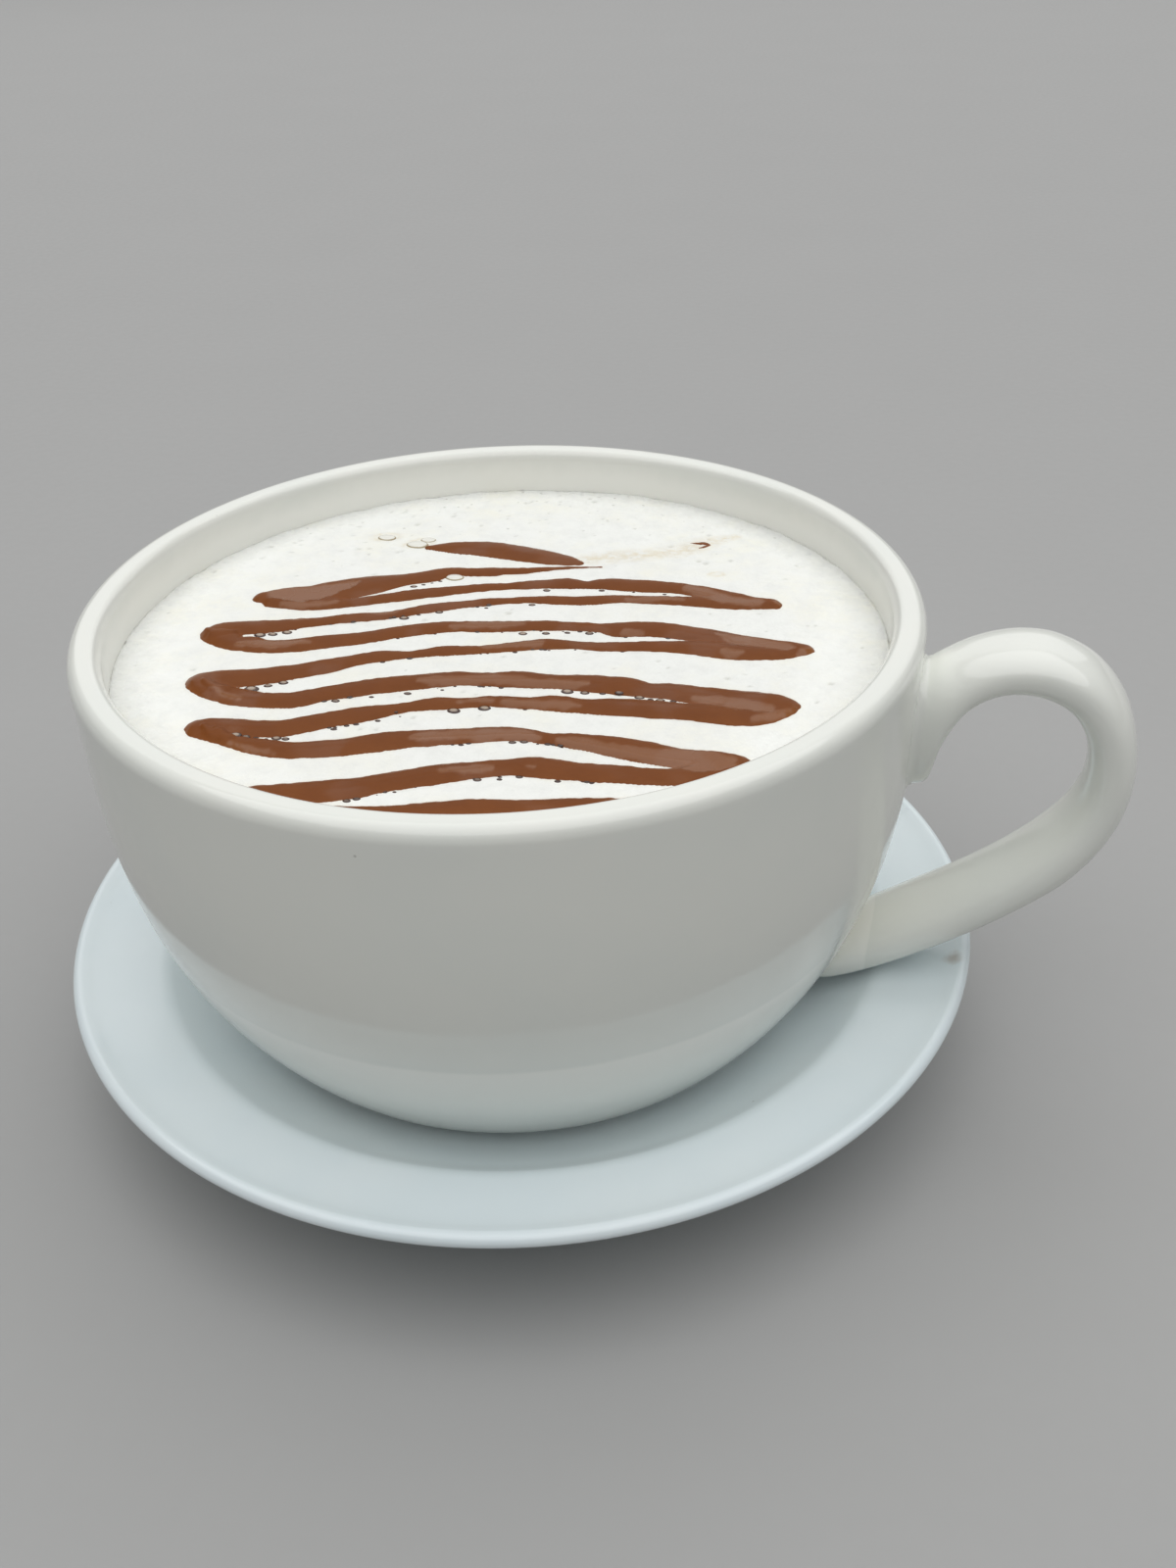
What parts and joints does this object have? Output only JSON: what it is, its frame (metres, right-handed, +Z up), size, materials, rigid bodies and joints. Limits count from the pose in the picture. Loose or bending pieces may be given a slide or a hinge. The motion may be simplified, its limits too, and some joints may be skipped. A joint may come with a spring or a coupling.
{
  "type": "cup of latte on a saucer",
  "caption": "Large round cup of latte on its matching saucer, filled with milk foam to just below the rim, with an ear-shaped handle.",
  "frame": {"origin": "middle of the box round the whole thing, on the surface that the saucer stands on", "axes": "+Z up, +X from the cup towards its handle, +Y to the left of the handle"},
  "size_m": [0.1633, 0.145, 0.075],
  "materials": {
    "cup_glaze": "glossy warm white glaze",
    "saucer_glaze": "glossy cool white glaze",
    "milk_foam": "fine matt milk foam",
    "chocolate_sauce": "wet, glossy brown sauce"
  },
  "bodies": {
    "root": {"cup": "cup_glaze", "saucer": "saucer_glaze", "latte": "milk_foam"}
  },
  "joints": []
}
